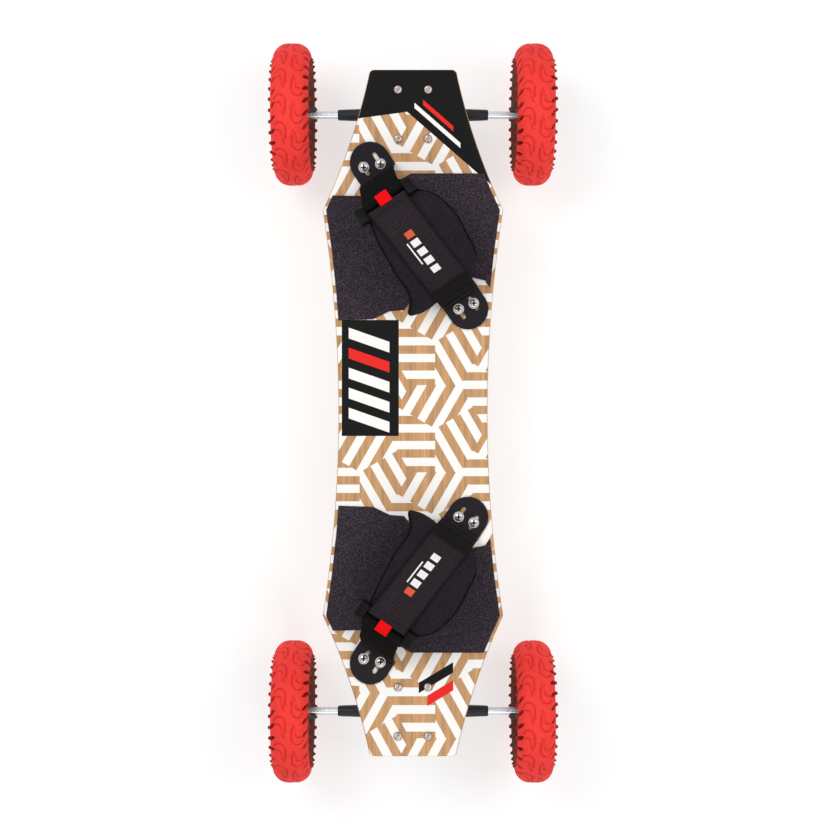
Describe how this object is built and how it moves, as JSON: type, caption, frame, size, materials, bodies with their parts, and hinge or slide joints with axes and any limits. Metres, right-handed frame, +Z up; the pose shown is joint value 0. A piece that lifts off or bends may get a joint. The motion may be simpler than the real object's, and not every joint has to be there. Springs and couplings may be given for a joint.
{
  "type": "mountainboard",
  "caption": "Off-road skateboard: bamboo deck with upturned tips, sprung kingpin trucks, red air tyres on split rims, and padded foot bindings.",
  "frame": {"origin": "on the ground under the middle of the deck, where the wheels stand", "axes": "+Y along the deck towards the nose, +X to the right seen from above with the nose ahead, +Z up"},
  "size_m": [0.4026, 1.0518, 0.2366],
  "materials": {
    "wood": "clear lacquer over bamboo, with black and white painted areas",
    "grip": "coarse grit sheet",
    "black_metal": "black paint, satin",
    "steel": "bright plating",
    "bushing": "cast urethane",
    "tyre": "moulded tread",
    "tube": "smooth",
    "rim": "moulded",
    "plastic": "moulded",
    "webbing": "woven",
    "pad": "foam-backed knit"
  },
  "bodies": {
    "deck_body": {"deck": "wood", "front_grip": "grip", "rear_grip": "grip", "front_baseplate": "black_metal", "front_kingpin": "steel", "front_kingpin_nut": "steel", "front_pivot_cup": "bushing", "front_boardside_bushing": "bushing", "front_roadside_bushing": "bushing", "front_pad": "pad", "front_strap": "webbing", "front_lower_webbing": "webbing", "front_strap_ring": "plastic", "front_outer_anchor": "plastic", "front_inner_anchor": "plastic", "rear_baseplate": "black_metal", "rear_kingpin": "steel", "rear_kingpin_nut": "steel", "rear_pivot_cup": "bushing", "rear_boardside_bushing": "bushing", "rear_roadside_bushing": "bushing", "rear_pad": "pad", "rear_strap": "webbing", "rear_lower_webbing": "webbing", "rear_strap_ring": "plastic", "rear_outer_anchor": "plastic", "rear_inner_anchor": "plastic"},
    "front_hanger_body": {"front_hanger": "black_metal", "front_axle": "steel", "front_left_axle_nut": "steel", "front_right_axle_nut": "steel"},
    "rear_hanger_body": {"rear_hanger": "black_metal", "rear_axle": "steel", "rear_left_axle_nut": "steel", "rear_right_axle_nut": "steel"},
    "front_right_wheel": {"front_right_tyre": "tyre", "front_right_inner_tube": "tube", "front_right_outer_rim": "rim", "front_right_inner_rim": "rim", "front_right_outer_bearing": "steel", "front_right_inner_bearing": "steel"},
    "front_left_wheel": {"front_left_tyre": "tyre", "front_left_inner_tube": "tube", "front_left_outer_rim": "rim", "front_left_inner_rim": "rim", "front_left_outer_bearing": "steel", "front_left_inner_bearing": "steel"},
    "rear_right_wheel": {"rear_right_tyre": "tyre", "rear_right_inner_tube": "tube", "rear_right_outer_rim": "rim", "rear_right_inner_rim": "rim", "rear_right_outer_bearing": "steel", "rear_right_inner_bearing": "steel"},
    "rear_left_wheel": {"rear_left_tyre": "tyre", "rear_left_inner_tube": "tube", "rear_left_outer_rim": "rim", "rear_left_inner_rim": "rim", "rear_left_outer_bearing": "steel", "rear_left_inner_bearing": "steel"}
  },
  "joints": [
    {"name": "front_steer", "type": "hinge", "parent": "deck_body", "child": "front_hanger_body", "pos_m": [0, 0.40329, 0.11398], "axis": [0, 0.7948, 0.6069], "range_deg": [-12, 12], "stiffness_Nm_per_rad": 60, "deforming": ["front_boardside_bushing", "front_roadside_bushing"]},
    {"name": "rear_steer", "type": "hinge", "parent": "deck_body", "child": "rear_hanger_body", "pos_m": [0, -0.40329, 0.11398], "axis": [0, -0.7948, 0.6069], "range_deg": [-12, 12], "stiffness_Nm_per_rad": 60, "deforming": ["rear_boardside_bushing", "rear_roadside_bushing"]},
    {"name": "front_right_spin", "type": "hinge", "parent": "front_hanger_body", "child": "front_right_wheel", "pos_m": [0.171, 0.42605, 0.09984], "axis": [1, 0, 0], "continuous": true},
    {"name": "front_left_spin", "type": "hinge", "parent": "front_hanger_body", "child": "front_left_wheel", "pos_m": [-0.171, 0.42605, 0.09984], "axis": [1, 0, 0], "continuous": true},
    {"name": "rear_right_spin", "type": "hinge", "parent": "rear_hanger_body", "child": "rear_right_wheel", "pos_m": [0.171, -0.42605, 0.09984], "axis": [1, 0, 0], "continuous": true},
    {"name": "rear_left_spin", "type": "hinge", "parent": "rear_hanger_body", "child": "rear_left_wheel", "pos_m": [-0.171, -0.42605, 0.09984], "axis": [1, 0, 0], "continuous": true}
  ]
}
